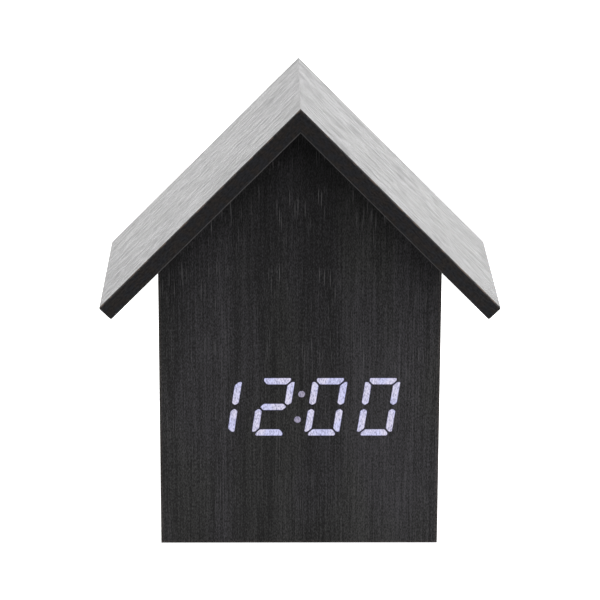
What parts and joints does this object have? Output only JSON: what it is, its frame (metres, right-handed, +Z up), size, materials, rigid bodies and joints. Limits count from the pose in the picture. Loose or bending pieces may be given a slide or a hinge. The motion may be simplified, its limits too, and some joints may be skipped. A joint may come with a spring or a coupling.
{
  "type": "digital alarm clock",
  "caption": "House-shaped digital alarm clock in black wood veneer: pitched overhanging roof, slanted segment digits glowing through the front, rear setting buttons and hinged battery door.",
  "frame": {"origin": "on the underside of the base, below the middle of the roof", "axes": "+X to the right across the front, -Y out of the front face, +Z up towards the ridge"},
  "size_m": [0.1344, 0.08, 0.1553],
  "materials": {
    "black_veneer": "satin black wood veneer with fine straight grain",
    "fibreboard": "raw fibreboard",
    "black_moulding": "fine spark-textured moulded plastic",
    "button_plastic": "smooth satin plastic",
    "zinc_steel": "zinc-plated steel",
    "nickel_strip": "nickel-plated strip",
    "circuit_board": "green solder mask over glass-fibre board",
    "reflector_plastic": "white reflector plastic",
    "light_guide": "milky epoxy light guide",
    "led_package": "phosphor-coated light-emitting diode",
    "chip_epoxy": "black moulding compound",
    "white_nylon": "natural nylon",
    "plunger_plastic": "smooth plastic",
    "component_can": "drawn can",
    "cell_sleeve": "printed-free shrink sleeve, plain band",
    "ribbon_sheath": "grey flat ribbon",
    "red_sheath": "red wire sheath",
    "black_sheath": "black wire sheath"
  },
  "bodies": {
    "cabinet": {"front_veneer": "black_veneer", "left_side_panel": "black_veneer", "right_side_panel": "black_veneer", "base_panel": "black_veneer", "back_panel": "black_veneer", "roof_board_left": "black_veneer", "roof_board_right": "black_veneer", "front_panel": "fibreboard", "ridge_batten": "fibreboard", "cover_screw_blocks": "fibreboard", "rear_cover": "black_moulding", "display_screws": "zinc_steel", "rear_cover_screws": "zinc_steel", "main_pcb_screws": "zinc_steel", "battery_contacts": "nickel_strip", "battery_springs": "nickel_strip", "micro_usb_shell": "nickel_strip", "display_pcb": "circuit_board", "main_pcb": "circuit_board", "display_reflector": "reflector_plastic", "display_segments": "light_guide", "led_chips": "led_package", "display_driver_chip": "chip_epoxy", "controller_chip": "chip_epoxy", "tact_switches": "chip_epoxy", "buzzer": "chip_epoxy", "micro_usb_tongue": "chip_epoxy", "thermistor": "chip_epoxy", "display_connector": "white_nylon", "main_connector": "white_nylon", "display_spacers": "white_nylon", "clock_crystal": "component_can", "capacitors": "component_can", "microphone": "component_can", "battery_cell_1": "cell_sleeve", "battery_cell_2": "cell_sleeve", "battery_cell_3": "cell_sleeve", "ribbon_cable": "ribbon_sheath", "positive_lead": "red_sheath", "negative_lead": "black_sheath"},
    "battery_door": {"battery_door": "black_moulding"},
    "set_button": {"set_button": "button_plastic", "set_plunger": "plunger_plastic"},
    "up_button": {"up_button": "button_plastic", "up_plunger": "plunger_plastic"},
    "down_button": {"down_button": "button_plastic", "down_plunger": "plunger_plastic"}
  },
  "joints": [
    {"name": "battery_door_hinge", "type": "hinge", "parent": "cabinet", "child": "battery_door", "pos_m": [0, 0.03255, 0.05785], "axis": [1, 0, 0], "range_deg": [0, 80]},
    {"name": "set_button_press", "type": "slide", "parent": "cabinet", "child": "set_button", "axis": [0, -1, 0], "range_m": [0, 0.0005], "stiffness_N_per_m": 2000, "springref_m": -0.0003},
    {"name": "up_button_press", "type": "slide", "parent": "cabinet", "child": "up_button", "axis": [0, -1, 0], "range_m": [0, 0.0005], "stiffness_N_per_m": 2000, "springref_m": -0.0003},
    {"name": "down_button_press", "type": "slide", "parent": "cabinet", "child": "down_button", "axis": [0, -1, 0], "range_m": [0, 0.0005], "stiffness_N_per_m": 2000, "springref_m": -0.0003}
  ]
}
